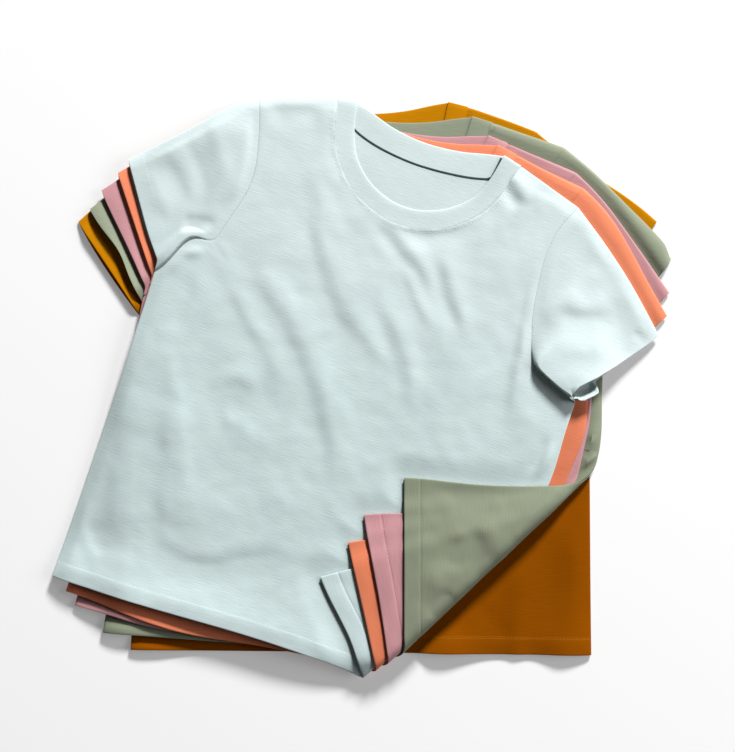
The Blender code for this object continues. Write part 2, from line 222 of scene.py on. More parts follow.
right_outline = np.vstack([SIDE[:-1], [CUFF_LOWER], curve(SLEEVE_TOP)[::-1], [BAND_POINT]])
for shirt in SHIRTS:
    whole = np.vstack([right_outline, mirrored(right_outline)])
    shirt["outline"] = np.stack(placed(shirt, whole[:, 0], whole[:, 1]), axis=1)


def fold_reach(x, y):
    """How far a place in the plan lies past the fold's axis."""
    return x * OUTWARD[0] + y * OUTWARD[1] - FOLD_AXIS


def fold_radius(level):
    return FOLD_LEVEL - level * SHIRT_HEIGHT - FOLD_LAYER


def unfolded(level, x, y):
    """The flat place of a point of a turned-back corner that now lies at x, y."""
    beyond = -fold_reach(x, y)
    s = x * ALONG[0] + y * ALONG[1] - SHIRTS[level]["lean"] * beyond
    out = FOLD_AXIS + math.pi * fold_radius(level) + beyond
    return s * ALONG[0] + out * OUTWARD[0], s * ALONG[1] + out * OUTWARD[1]


SINK_START = 2.0
BODY_SINK = 36.0
FLAP_SINK = 20.0
FLAP_SETTLE = 2.4
SETTLE_FROM = 6.0
SETTLE_RUN = 36.0
COVER_REACH = 13.0
FLAP_COVER_REACH = 28.0


def body_sunk(levels, x, y, run=BODY_SINK):
    """How far cloth sinks past the edges of the shirts beneath it."""
    total = np.zeros(x.shape)
    for lower in range(levels):
        away = -inside(x, y, SHIRTS[lower]["outline"])
        total += SHIRT_HEIGHT * ramp((away - SINK_START) / run)
    return total


def flap_sunk(level, x, y):
    """The same for a turned-back corner, over all the shirts and the corners under it."""
    total = body_sunk(len(SHIRTS), x, y, FLAP_SINK)
    for upper in range(level + 1, len(SHIRTS)):
        away = -inside(*unfolded(upper, x, y), SHIRTS[upper]["outline"])
        total += SHIRT_HEIGHT * ramp((away - SINK_START) / FLAP_SINK)
    return total


def covered(level, x, y):
    """1 where another shirt or a turned-back corner lies on the shirt, 0 in the open."""
    cover = np.zeros(x.shape)
    to_fold = FOLD_EDGE - FOLD_AXIS - fold_reach(x, y)
    for upper in range(level + 1, len(SHIRTS)):
        depth = np.minimum(inside(x, y, SHIRTS[upper]["outline"]), to_fold)
        cover = np.maximum(cover, ramp(1 + depth / COVER_REACH))
    for flap in range(1, len(SHIRTS)):
        depth = np.minimum(inside(*unfolded(flap, x, y), SHIRTS[flap]["outline"]), to_fold)
        cover = np.maximum(cover, ramp(1 + depth / FLAP_COVER_REACH))
    return cover


def flap_covered(level, x, y):
    """1 where another turned-back corner lies on this one."""
    cover = np.zeros(x.shape)
    for flap in range(1, level):
        depth = inside(*unfolded(flap, x, y), SHIRTS[flap]["outline"])
        cover = np.maximum(cover, ramp(1 + depth / COVER_REACH))
    return cover


def turned_place(level, x, y):
    """Plan place after the fold, with the points of the bend brought to the fold's axis."""
    past = fold_reach(x, y)
    beyond = np.maximum(past - math.pi * fold_radius(level), 0)
    s = x * ALONG[0] + y * ALONG[1] + SHIRTS[level]["lean"] * beyond
    out = FOLD_AXIS + np.minimum(past, 0) - beyond
    return s * ALONG[0] + out * OUTWARD[0], s * ALONG[1] + out * OUTWARD[1]


def settled(level, x, y, height):
    """Carries flat points, at a height over the shirt's own underside, to where they lie."""
    z = level * SHIRT_HEIGHT + height
    past = fold_reach(x, y)
    foot = np.maximum(past, 0)
    body_drop = body_sunk(level, x - foot * OUTWARD[0], y - foot * OUTWARD[1])
    if level == 0 or past.max() <= 0:
        return np.stack([x, y, z - body_drop], axis=1) * MM
    angle = np.clip(past / fold_radius(level), 0, math.pi)
    turned_x, turned_y = turned_place(level, x, y)
    swing = np.where(past > 0, (FOLD_LEVEL - z) * np.sin(angle), 0)
    z = FOLD_LEVEL - (FOLD_LEVEL - z) * np.cos(angle)
    turned = (1 - np.cos(angle)) / 2
    flap_drop = flap_sunk(level, turned_x, turned_y)
    flap_drop += FLAP_SETTLE * ramp((-fold_reach(turned_x, turned_y) - SETTLE_FROM) / SETTLE_RUN)
    z = z - (1 - turned) * body_drop - turned * flap_drop
    x, y = turned_x + swing * OUTWARD[0], turned_y + swing * OUTWARD[1]
    return np.stack([x, y, z], axis=1) * MM


def shares(length, step, start, end):
    """Shares of a length: lines at set distances from both ends, and even steps between."""
    first, last = start[-1], length - end[-1]
    middle = np.linspace(first, last, max(2, round((last - first) / step)) + 1)[1:-1]
    return np.concatenate([start, middle, [length - away for away in reversed(end)]]) / length


def jersey_grid(across_shares, up_shares):
    """A flat grid with a line at each share, and the shares of its corners."""
    mesh = bmesh.new()
    columns, rows = len(across_shares) - 1, len(up_shares) - 1
    bmesh.ops.create_grid(mesh, x_segments=columns, y_segments=rows, size=0.5)
    flat = np.array([vert.co[:2] for vert in mesh.verts]) + 0.5
    column = np.rint(flat[:, 0] * columns).astype(int)
    row = np.rint(flat[:, 1] * rows).astype(int)
    return mesh, np.array(across_shares)[column], np.array(up_shares)[row]


def filled(low, high, left, right, s, t, f):
    """Places between four edges, at the shares s of low and high and t of left and right."""
    weights = (1 - f, f, 1 - s, s)
    edges = (points_at(low, s), points_at(high, s), points_at(left, t), points_at(right, t))
    across = sum(weight * edge[0] for weight, edge in zip(weights, edges))
    up = sum(weight * edge[1] for weight, edge in zip(weights, edges))
    for weight, corner in (((1 - s) * (1 - f), low[0]), (s * (1 - f), low[-1]),
                           ((1 - s) * f, high[0]), (s * f, high[-1])):
        across = across - weight * corner[0]
        up = up - weight * corner[1]
    return across, up


def write_cut(mesh, across, up):
    cut = mesh.loops.layers.uv.new("cut")
    mesh.verts.index_update()
    for face in mesh.faces:
        for loop in face.loops:
            index = loop.vert.index
            loop[cut].uv = (across[index] * MM, up[index] * MM)


def read_cut(mesh):
    cut = mesh.loops.layers.uv["cut"]
    places = np.array([vert.link_loops[0][cut].uv[:] for vert in mesh.verts]) / MM
    return places[:, 0], places[:, 1]


def move_to(mesh, places):
    for vert, place in zip(mesh.verts, places.tolist()):
        vert.co = place


def thicken(mesh, name, thick):
    """Gives a sheet its thickness, half to each side, and makes it a piece."""
    mesh.normal_update()
    middle = mesh.verts.layers.float_vector.new("middle")
    outward = mesh.verts.layers.float_vector.new("outward")
    for vert in mesh.verts:
        vert[middle], vert[outward] = vert.co, vert.normal
    bmesh.ops.solidify(mesh, geom=mesh.faces[:], thickness=thick * MM)
    for vert in mesh.verts:
        inner = (vert.co - vert[middle]).length > 1e-6
        vert.co = vert[middle] + vert[outward] * (-0.5 if inner else 0.5) * thick * MM
    mesh.verts.layers.float_vector.remove(mesh.verts.layers.float_vector["outward"])
    mesh.verts.layers.float_vector.remove(mesh.verts.layers.float_vector["middle"])
    return as_piece(mesh, name)


def as_piece(mesh, name):
    data = bpy.data.meshes.new(name)
    mesh.to_mesh(data)
    mesh.free()
    data.polygons.foreach_set("use_smooth", [True] * len(data.polygons))
    data.set_sharp_from_angle(angle=SHARP_ANGLE)
    piece = bpy.data.objects.new(name, data)
    bpy.context.scene.collection.objects.link(piece)
    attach(piece, "root")
    return piece


def matt(name, roughness):
    """A new material, its node tree and its shader."""
    material = bpy.data.materials.new(name)
    material.use_nodes = True
    shader = material.node_tree.nodes["Principled BSDF"]
    shader.inputs["Roughness"].default_value = roughness
    return material, material.node_tree, shader


def cut_noise(tree, cut, scale, detail):
    """Noise over the cut, at a scale across and up."""
    mapping = tree.nodes.new("ShaderNodeMapping")
    mapping.inputs["Scale"].default_value = (*scale, 1)
    tree.links.new(cut.outputs["UV"], mapping.inputs["Vector"])
    texture = tree.nodes.new("ShaderNodeTexNoise")
    texture.inputs["Scale"].default_value = 1.0
    texture.inputs["Detail"].default_value = detail
    tree.links.new(mapping.outputs["Vector"], texture.inputs["Vector"])
    return texture.outputs["Fac"]


def mixed(tree, factor, first, second, kind="MIX"):
    """Two colours mixed or multiplied, each a constant or a socket."""
    mix = tree.nodes.new("ShaderNodeMix")
    mix.data_type = "RGBA"
    mix.blend_type = kind
    for name, value in (("Factor", factor), ("A", first), ("B", second)):
        if isinstance(value, bpy.types.NodeSocket):
            tree.links.new(value, mix.inputs[name])
        else:
            mix.inputs[name].default_value = value
    return mix.outputs["Result"]


def spread(tree, factor, low, high):
    """Widens a noise's middle range to 0..1."""
    stretch = tree.nodes.new("ShaderNodeMapRange")
    stretch.inputs["From Min"].default_value = low
    stretch.inputs["From Max"].default_value = high
    tree.links.new(factor, stretch.inputs["Value"])
    return stretch.outputs["Result"]


def grey(share):
    return (share, share, share, 1)


def jersey(name, colour, lower):
    """Slub cotton jersey: fine uneven yarns, a soft matt nap, and painted shade on the lower body.
    """
    material, tree, shader = matt(name, 0.92)
    shader.inputs["Specular IOR Level"].default_value = 0.08
    shader.inputs["Specular Tint"].default_value = (*colour, 1)
    shader.inputs["Sheen Weight"].default_value = 0.15
    shader.inputs["Sheen Roughness"].default_value = 0.5
    shader.inputs["Sheen Tint"].default_value = (*colour, 1)
    cut = tree.nodes.new("ShaderNodeUVMap")
    cut.uv_map = "cut"
    slub = spread(tree, cut_noise(tree, cut, (60, 1100), 3), 0.3, 0.7)
    cloud = spread(tree, cut_noise(tree, cut, (16, 22), 3), 0.3, 0.7)
    knit = cut_noise(tree, cut, (1250, 900), 1)
    apart = tree.nodes.new("ShaderNodeSeparateXYZ")
    tree.links.new(cut.outputs["UV"], apart.inputs["Vector"])
    # Painted shade: below about 300 mm up the cut the colour is the deeper painted-shade colour,
    # blending into the plain colour by 470 mm.
    out_of_painted_shade = spread(tree, apart.outputs["Y"], 0.3, 0.47)
    shade = mixed(tree, out_of_painted_shade, (*lower, 1), (*colour, 1))
    streak = mixed(tree, slub, grey(0.94), grey(1.03))
    shade = mixed(tree, 1.0, shade, streak, "MULTIPLY")
    tint = mixed(tree, cloud, grey(0.95), grey(1.03))
    shade = mixed(tree, 1.0, shade, tint, "MULTIPLY")
    tree.links.new(shade, shader.inputs["Base Color"])
    height = tree.nodes.new("ShaderNodeMath")
    height.operation = "ADD"
    tree.links.new(slub, height.inputs[0])
    tree.links.new(knit, height.inputs[1])
    bump = tree.nodes.new("ShaderNodeBump")
    bump.inputs["Strength"].default_value = 0.5
    bump.inputs["Distance"].default_value = 0.00015
    tree.links.new(height.outputs["Value"], bump.inputs["Height"])
    tree.links.new(bump.outputs["Normal"], shader.inputs["Normal"])
    return material


COLOURS = dict(
    ochre=(0.45, 0.175, 0.002),
    sage=(0.235, 0.26, 0.187),
    mauve=(0.47, 0.24, 0.255),
    coral=(0.74, 0.228, 0.12),
    blue=(0.54, 0.622, 0.622),
)
# Painted shade: the deeper colours that the lower part of each cut takes on, standing in for the
# shade that falls on the lower body.
PAINTED_SHADE_COLOURS = dict(
    COLOURS,
    ochre=(0.22, 0.057, 0.0005),
    sage=(0.212, 0.236, 0.167),
    coral=(0.63, 0.187, 0.096),
    blue=(0.492, 0.588, 0.587),
)
JERSEYS = {
    name: jersey(name + "_jersey", colour, PAINTED_SHADE_COLOURS[name]) for name, colour in COLOURS.items()
}

# Soft creases of the turned-back corners, on the outside of the backs: rise (a trough where it is
# negative), half width to the left and right of the path, and the path in the cut.
BACK_CREASES = dict(
    sage=[
        (-1.6, 6, 6, [(245, 6), (244, 60), (242, 130), (238, 190)]),
        (-2.4, 9, 7, [(246, 50), (238, 78), (230, 100)]),
        (-3.0, 12, 9, [(176, 40), (188, 66), (210, 90)]),
        (2.4, 14, 12, [(205, 40), (200, 75), (212, 120)]),
        (-2.8, 9, 9, [(116, 26), (129, 41), (140, 56)]),
        (-2.4, 10, 8, [(237, 105), (230, 145), (236, 185)]),
        (2.0, 14, 12, [(150, 10), (160, 50), (168, 90)]),
    ],
    mauve=[(-0.8, 6, 6, [(205, 4), (212, 16), (206, 30)])],
    coral=[],
    blue=[(-1.0, 8, 6, [(244, 5), (236, 22), (225, 40)])],
)
CREASE_ENDS = 0.3
SOFT_TURN = 0.5
HEM_RELIEF = 0.2
HEM_STEP = 1.5
HEM_GROOVE = 0.2
BACK_HEM_GROOVE = 0.55
HEM_GROOVE_HALF = 1.1
SEAM_DIP = 0.25
SEAM_DIP_HALF = 1.3


def creased(across, up, rows):
    total = np.zeros(across.shape)
    for rise, left, right, path in rows:
        away, share, side = nearest(across, up, curve(path))
        ends = ramp(share / CREASE_ENDS) * ramp((1 - share) / CREASE_ENDS)
        total += rise * ends * fading(away, np.where(side > 0, left, right))
    return total


def never_sunk(rise):
    """Keeps a rise from sinking below 0, with a soft turn."""
    return (rise + np.sqrt(rise ** 2 + SOFT_TURN ** 2)) / 2


def hem_relief(up, deep=HEM_GROOVE):
    """The doubled hem, and the groove that its stitching pulls in."""
    doubled = HEM_RELIEF * ramp((HEM_DEPTH + HEM_STEP - up) / HEM_STEP)
    groove = deep * fading(up - HEM_DEPTH, HEM_GROOVE_HALF)
    edge = EDGE_HALF * (1 - rounded(up, EDGE_ROUND))
    return doubled - groove - edge


SHOULDER = np.array([SHOULDER_TIP, NECK_POINT])
SIDE_LINE = curve(SIDE)
ARMHOLE_LINE = curve(ARMHOLE)
BACK_NECK = whole_line(BACK_NECK_SEAM)


def edge_half(across, up):
    """Half the gap between front and back: closed at side seams and shoulders."""
    to_side = nearest(np.abs(across), up, SIDE_LINE)[0]
    to_shoulder = nearest(np.abs(across), up, SHOULDER)[0]
    edge = np.minimum(to_side, to_shoulder)
    return EDGE_HALF + (LAYER_HALF - EDGE_HALF) * rounded(edge, EDGE_ROUND), edge


def seam_dip(away):
    return SEAM_DIP * fading(away, SEAM_DIP_HALF)


def lumpy(across, up, size, seed):
    return np.array([
        noise.noise((a / size, u / size, seed)) for a, u in zip(across.tolist(), up.tolist())
    ])


# Waves of the hems that stand a little off what they lie on: middle, half width and height.
HEM_WAVES = dict(
    ochre=[(-235, 40, 3.5), (-60, 60, 3.0), (92, 34, 8.0), (172, 9, 2.0), (226, 24, 6.0)],
    sage=[(-250, 40, 3.5), (-150, 60, 3.0)],
    mauve=[(-235, 50, 3.0), (-120, 60, 2.5)],
    coral=[(-250, 30, 3.0), (-150, 60, 2.2), (-40, 50, 2.0)],
    blue=[(-250, 40, 4.5), (-180, 60, 6.0), (-80, 70, 6.0), (20, 60, 5.0)],
)
WAVE_REACH = 30.0
UNDERSIDE_WAVE = 0.8


def hem_lift(cloth, across, up):
    lift = np.zeros(across.shape)
    for centre, half, height in HEM_WAVES[cloth]:
        lift += height * fading(across - centre, half)
    return lift * np.exp(-(np.maximum(up, 0) / WAVE_REACH) ** 1.5)


FRONT_BAND_EDGE = [(0, 512), (22, 515), (48, 526), (70.5, 546), (82, 570), BAND_POINT]
FRONT_EDGE = whole_line(FRONT_BAND_EDGE)
BAND_STAND = 0.4
BAND_STAND_REACH = (28, 8)
BAND_STAND_ENDS = 0.2
BACK_LUMPS = 1.3
BACK_LUMP_SIZE = 34
SMALL_BACK_LUMPS = 0.5
SMALL_BACK_LUMP_SIZE = 14
BACK_CALM_EDGE = 14
BACK_LOOSENESS = 0.6


def band_middle(share):
    """1 along the middle of the front band, 0 at its two ends."""
    return ramp((0.5 - np.abs(share - 0.5)) / BAND_STAND_ENDS)


def band_stand(across, up):
    """How far the top shirt's back rises towards the front band's free edge."""
    to_band, share, side = nearest(across, up, FRONT_EDGE)
    return BAND_STAND * band_middle(share) * fading(to_band, np.where(side > 0, *BAND_STAND_REACH))


def back_height(level, across, up, x, y):
    cloth = SHIRTS[level]["name"]
    half, _ = edge_half(across, up)
    half = half + hem_relief(up, BACK_HEM_GROOVE) * (level > 0)
    half -= seam_dip(nearest(np.abs(across), up, ARMHOLE_LINE)[0])
    half -= seam_dip(nearest(across, up, BACK_NECK)[0])
    turned = ramp(fold_reach(x, y) / (math.pi * fold_radius(level))) * (level > 0)
    if level:
        bare = turned * (1 - flap_covered(level, *turned_place(level, x, y)))
        rise = creased(across, up, BACK_CREASES[cloth])
        rise += BACK_LUMPS * lumpy(across, up, BACK_LUMP_SIZE, level + 0.5)
        rise += SMALL_BACK_LUMPS * lumpy(across, up, SMALL_BACK_LUMP_SIZE, level)
        rise *= ramp(np.minimum(up, HEM_HALF_WIDTH - np.abs(across)) / BACK_CALM_EDGE)
        half = half + bare * never_sunk(rise + BACK_LOOSENESS)
    lift = UNDERSIDE_WAVE * hem_lift(cloth, across, up)
    height = SHIRT_MIDDLE - half + lift * (1 - covered(level, x, y)) * (1 - turned)
    if level == TOP_LEVEL:
        height += band_stand(across, up)
    return height


def outline_area(line):
    """The area inside an outline, in square metres."""
    x, y = line.T
    return abs(np.dot(x, np.roll(y, -1)) - np.dot(y, np.roll(x, -1))) / 2 * MM * MM


EDGE_LINES = (0, 0.4, 0.9, 1.6, 3)
HEM_LINES = (0, 0.4, 0.9, 1.6, 3, 9, 15.5, 16.6, 17.3, 18, 18.7, 19.5, 21)
FINE_STEP = 2.9
MIDDLE_STEP = 3.9
PLAIN_STEP = 6.7


def panel(level, name, neck, step, height_of):
    """A front or back: a grid filled into its cut, laid on the stack and turned at the fold."""
    shirt = SHIRTS[level]
    armhole = ARMHOLE_LINE - (SEAM_GAP, 0)
    right = np.vstack([SIDE_LINE, armhole[1:]])
    top = np.vstack([mirrored(right[-1:]), neck - (0, SEAM_GAP), right[-1:]])
    hem = np.array([[-HEM_HALF_WIDTH, 0], [HEM_HALF_WIDTH, 0]])
    side_length = np.hypot(*np.diff(right, axis=0).T).sum()
    across_shares = shares(2 * HEM_HALF_WIDTH, step, EDGE_LINES, EDGE_LINES)
    up_shares = shares(side_length, step, HEM_LINES, EDGE_LINES)
    mesh, s, t = jersey_grid(across_shares, up_shares)
    across, up = filled(hem, top, mirrored(right)[::-1], right, s, t, ramp(t))
    write_cut(mesh, across, up)
    x, y = placed(shirt, across, up)
    move_to(mesh, np.stack([x, y, np.zeros(x.shape)], axis=1))
    if level:
        for line in range(FOLD_LINES + 1):
            out = FOLD_AXIS + fold_radius(level) * math.pi * line / FOLD_LINES
            bmesh.ops.bisect_plane(
                mesh,
                geom=mesh.verts[:] + mesh.edges[:] + mesh.faces[:],
                dist=0.05,
                plane_co=(out * OUTWARD[0], out * OUTWARD[1], 0),
                plane_no=(OUTWARD[0], OUTWARD[1], 0),
            )
        many_sided = [face for face in mesh.faces if len(face.verts) > 4]
        bmesh.ops.triangulate(mesh, faces=many_sided)
    across, up = read_cut(mesh)
    x, y = np.array([vert.co[:2] for vert in mesh.verts]).T
    height = height_of(level, across, up, x, y)
    move_to(mesh, settled(level, x, y, height))
    piece = thicken(mesh, name, JERSEY_THICK)
    outline = np.vstack([hem, right[1:], top[::-1][1:], mirrored(right)[1:-1]])
    return piece, outline_area(outline)


def dress(piece, node, cloth):
    piece.data.materials.append(JERSEYS[cloth])
    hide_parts(node)


for level, shirt in enumerate(SHIRTS):
    cloth = shirt["name"]
    step = MIDDLE_STEP if cloth == "sage" else PLAIN_STEP
    piece, area = panel(level, cloth + "_back_cloth", BACK_NECK, step, back_height)
    dress(piece, cloth + "_back", cloth)

# Fronts: the front of each shirt, one panel of jersey with a scooped neck, its hem turned up and
# stitched. The top one shows whole, with long soft folds from the neck down to the hem. The
# creases are listed as the backs' are.
FRONT_NECK_SEAM = [(0, 491.5), (25, 495), (57.8, 508.5), (86, 533.5), (101, 562), NECK_POINT]
FRONT_NECK = whole_line(FRONT_NECK_SEAM)
FRONT_CREASES = dict(
    blue=[
        (1.7, 19, 11, [(-115, 540), (-72, 447), (-24, 384), (29, 347), (70, 310)]),
        (-0.7, 8, 13, [(-132, 520), (-89, 437), (-40, 373), (14, 336)]),
        (1.9, 19, 12, [(-158, 428), (-111, 381), (-59, 335), (-18, 285), (12, 229), (34, 171)]),
        (-0.8, 8, 13, [(-175, 417), (-126, 369), (-75, 323), (-34, 274), (-5, 222), (18, 168)]),
        (1.4, 13, 9, [(-174, 383), (-132, 342), (-87, 302), (-59, 256)]),
        (1.8, 13, 8, [(-5, 421), (30, 385), (59, 348), (86, 298)]),
        (-0.7, 6, 10, [(-18, 411), (17, 375), (45, 338), (71, 291)]),
        (1.7, 10, 7, [(-25, 500), (21, 469), (47, 449), (66, 425)]),
        (-1.1, 6, 9, [(-38, 490), (10, 459), (35, 439)]),
        (1.5, 10, 7, [(55, 482), (82, 441), (119, 393)]),
        (-0.9, 6, 9, [(44, 472), (71, 432), (108, 386)]),
        (1.4, 8, 6, [(11, 458), (50, 415), (75, 392)]),
        (2.1, 18, 7, [(164, 515), (170, 478), (175, 433), (182, 372), (196, 299)]),
        (-0.9, 7, 20, [(150, 515), (157, 478), (162, 433), (168, 372), (182, 299)]),
        (1.4, 10, 13, [(-215, 297), (-181, 230), (-155, 175), (-128, 113)]),
        (1.2, 12, 9, [(-152, 250), (-126, 274), (-90, 272)]),
        (1.0, 9, 8, [(-128, 222), (-104, 226), (-80, 214)]),
        (-2.7, 13, 26, [(-183, 98), (-145, 62), (-93, 60), (-36, 86), (10, 108)]),
        (2.6, 42, 14, [(-195, 240), (-161, 154), (-146, 80)]),
        (-2.0, 24, 13, [(-246, 48), (-203, 55), (-158, 58)]),
        (1.0, 8, 7, [(-246, 120), (-240, 66), (-206, 24)]),
        (-2.4, 8, 8, [(92, 577), (102, 566), (126, 548)]),
        (1.7, 9, 8, [(104, 588), (114, 575), (138, 558)]),
        (-1.2, 5, 6, [(132, 580), (150, 577), (172, 577)]),
        (-2.4, 7, 14, [(-24, 486), (20, 485), (58, 498), (84, 522)]),
        (-2.0, 7, 14, [(-184, 556), (-149, 567), (-118, 577)]),
        (2.2, 6, 7, [(-233, 356), (-228, 386), (-214, 393), (-197, 404)]),
        (-1.0, 8, 9, [(-214, 372), (-204, 340), (-212, 300)]),
        (2.4, 5, 5, [(246, 318), (243, 290), (236, 262)]),
        (-1.7, 6, 6, [(236, 322), (233, 294), (226, 266)]),
        (-0.9, 9, 8, [(-113, 570), (-93, 538), (-70, 512)]),
    ],
    coral=[
        (1.2, 14, 12, [(-120, 60), (-60, 30), (0, 22)]),
        (-1.6, 5, 6, [(246, 340), (244, 310), (234, 270)]),
    ],
    mauve=[
        (1.2, 12, 10, [(-160, 50), (-110, 22), (-60, 12)]),
    ],
    sage=[
        (1.2, 12, 10, [(-200, 50), (-150, 26), (-90, 14)]),
        (5.0, 4, 6, [(252, 330), (246, 300), (238, 270)]),
        (-2.4, 4, 5, [(244, 330), (237, 300), (228, 280)]),
        (6.0, 4, 4, [(252, 280), (245, 262), (242, 240)]),
        (-3.6, 4, 4, [(256, 254), (247, 245), (236, 238)]),
        (5.0, 4, 5, [(256, 240), (246, 232), (234, 222)]),
    ],
    ochre=[
        (1.8, 11, 12, [(234, 150), (236, 80), (233, 6)]),
        (-1.2, 14, 12, [(204, 150), (206, 70), (203, 6)]),
        (1.2, 12, 12, [(176, 110), (172, 50), (172, 4)]),
        (-1.0, 12, 12, [(130, 59), (153, 27), (158, 4)]),
    ],
)
CREASE_DEPTH = 0.8
LOOSENESS = dict(blue=1.8, coral=0.5, mauve=0.5, sage=0.5, ochre=0.8)
PUFF = dict(blue=0.6, coral=1.6, mauve=1.8, sage=2.2, ochre=1.6)
PUFF_ROUND = 9
EDGE_RUN = dict(blue=16, coral=6, mauve=6, sage=5, ochre=16)
FOLD_CALM = 30
SEAM_CALM = 14
TOP_LUMPS, LOWER_LUMPS = 0.9, 0.7
LUMP_SIZE = 46
SMALL_LUMPS = 0.35
SMALL_LUMP_SIZE = 17
NECK_PUCKERS = 0.35
NECK_PUCKER_SIZE = 14 / 3
NECK_PUCKER_REACH = 7


def seam_level(cloth, edge):
    """How high the front stands at its armhole seam, where the sleeve meets it."""
    return LOOSENESS[cloth] * ramp(edge / EDGE_RUN[cloth]) + PUFF[cloth] * rounded(edge, PUFF_ROUND)


def front_height(level, across, up, x, y):
    shirt = SHIRTS[level]
    cloth = shirt["name"]
    half, edge = edge_half(across, up)
    half = half + hem_relief(up)
    to_armhole = nearest(np.abs(across), up, ARMHOLE_LINE)[0]
    to_neck = nearest(across, up, FRONT_NECK)[0]
    half -= seam_dip(to_armhole) + seam_dip(to_neck)
    bare = 1 - covered(level, x, y)
    if level:
        bare *= ramp(1 - fold_reach(x, y) / FOLD_CALM)
    inner = ramp(np.minimum(edge, up) / EDGE_RUN[cloth])
    rise = CREASE_DEPTH * creased(*eased(shirt, across, up), FRONT_CREASES[cloth])
    lumps = TOP_LUMPS if level == TOP_LEVEL else LOWER_LUMPS
    rise += lumps * lumpy(across, up, LUMP_SIZE, level)
    rise += SMALL_LUMPS * lumpy(across, up, SMALL_LUMP_SIZE, level + 9)
    rise = rise * ramp(to_armhole / SEAM_CALM) + LOOSENESS[cloth]
    puckers = NECK_PUCKERS * lumpy(across, up, NECK_PUCKER_SIZE, level + 20)
    rise += puckers * fading(to_neck, NECK_PUCKER_REACH)
    rise = never_sunk(rise) * inner + PUFF[cloth] * rounded(edge, PUFF_ROUND)
    return SHIRT_MIDDLE + half + bare * (rise + hem_lift(cloth, across, up))


for level, shirt in enumerate(SHIRTS):
    cloth = shirt["name"]
    step = FINE_STEP if level == TOP_LEVEL else PLAIN_STEP
    piece, area = panel(level, cloth + "_front_cloth", FRONT_NECK, step, front_height)
    dress(piece, cloth + "_front", cloth)

# Sleeves: short set-in sleeves, each one piece of jersey folded along its top and sewn under the
# arm, with a stitched cuff. The right one of the top shirt stands up, its cuff open.
SIDES = dict(left=-1, right=1)
MOUTHS = dict(
    left=dict(ochre=3.0, sage=2.2, mauve=0.8, coral=0.6, blue=0.0),
    right=dict(ochre=0.8, sage=0.8, mauve=0.8, coral=0.8, blue=2.0),
)
BACK_REACHES = dict(
    left=dict(ochre=3.5, sage=1.0, mauve=2.0, coral=3.5, blue=3.0),
    right=dict(ochre=1.0, sage=1.0, mauve=1.0, coral=1.0),
)
SLEEVE_CREASES = dict(
    left=[
        (2.2, 42, 12, [(204, 556), (196, 520), (190, 480), (184, 450)]),
        (1.8, 5, 20, [(190, 556), (226, 528), (268, 494), (304, 462)]),
        (0.8, 10, 9, [(252, 546), (220, 510), (198, 471)]),
        (-0.7, 9, 8, [(270, 515), (240, 484), (214, 450)]),
        (-0.8, 10, 8, [(287, 489), (255, 458), (232, 430)]),
        (0.7, 10, 8, [(300, 470), (270, 440), (246, 412)]),
        (-1.4, 7, 6, [(240, 421), (216, 426), (196, 430)]),
        (1.3, 6, 6, [(240, 404), (220, 410), (200, 415)]),
    ],
    right=[
        (1.4, 13, 9, [(192, 467), (226, 468), (262, 484)]),
        (-1.0, 8, 11, [(192, 452), (227, 453), (263, 469)]),
        (1.3, 17, 12, [(205, 416), (240, 422), (272, 440)]),
        (1.2, 14, 9, [(230, 520), (220, 488), (206, 462)]),
        (-0.9, 5, 6, [(286, 462), (302, 459), (314, 452)]),
    ],
)
SLEEVE_PUFF = dict(blue=1.6, coral=1.6, mauve=1.8, sage=4.2, ochre=1.6)
SLEEVE_LINE = curve(SLEEVE_TOP)
CUFF_LINE = np.array([CUFF_TOP, CUFF_LOWER])
CUFF_OUT = np.array([CUFF_TOP[1] - CUFF_LOWER[1], CUFF_LOWER[0] - CUFF_TOP[0]])
CUFF_OUT /= np.hypot(*CUFF_OUT)
UNDERARM_LINE = np.array([ARMHOLE[0], CUFF_LOWER])
SLEEVE_ROUND = 1.1
SLEEVE_LENGTH = 166
SLEEVE_AROUND = 190
TOP_LINES = (0, 0.004, 0.009, 0.018)
UNDERARM_LINES = (0, 0.0022, 0.005, 0.0085, 0.014)
SLEEVE_STEP, TOP_SLEEVE_STEP = 5.2, 2.6
SLEEVE_CALM = 14
SLEEVE_LUMPS = 0.9
SLEEVE_LUMP_SIZE = 30
LOWER_SLEEVE_SHARE = 0.35
SEAM_BLEND = 16
SLEEVE_RELIEF = 0.6
BACK_LAYER_CUT = 900

# The top shirt's left sleeve rolls over its armhole seam beside the underarm.
ROLL_AT, ROLL_REACH = (232, 376), 26
ROLL_HEIGHT = 4.4
ROLL_ROUND = 3.0
ROLL_WIDTH = 16

# The raised right sleeve: its height at the top layer and along the underarm, the lip where its
# back layer shows in the open cuff, and the line to which the edge of the cuff is drawn in.
RAISED_TOP = 11.0
RAISED_SEAM = 11.0
UNDER_WALL, TOP_WALL = 3.5, 36
LIP_HEIGHT = 12.0
LIP_REACH = 12.0
LIP_FADE = 4.5
LIP_FROM, LIP_RUN, LIP_END = 0.735, 0.06, 0.05
MOUTH_SHARES = (0.5, 0.7, 0.78, 0.9, 1.0)
MOUTH_ACROSS = (0.0, -2.7, -4.2, -7.5, -7.9)
MOUTH_UP = (0.0, 1.0, 2.1, 1.6, -4.3)
CORNER_SHARES = (0.84, 1.0)
OVERHANG = (-6.4, -4.8)


def is_raised(level, word):
    return level == TOP_LEVEL and word == "right"


def lip(w):
    """1 where the raised sleeve's back layer runs on past its front, near the underarm."""
    return ramp((w - LIP_FROM) / LIP_RUN) * np.clip((1 - w) / LIP_END, 0, 1)


def overhang(w, to_armhole):
    """How far the raised sleeve's front leans over its armhole seam, as a share."""
    off_seam = ramp(to_armhole / 2.5) * fading(np.maximum(to_armhole - 4, 0), 9)
    return ramp((w - 0.5) / 0.25) * ramp((1 - w) / 0.3) * off_seam


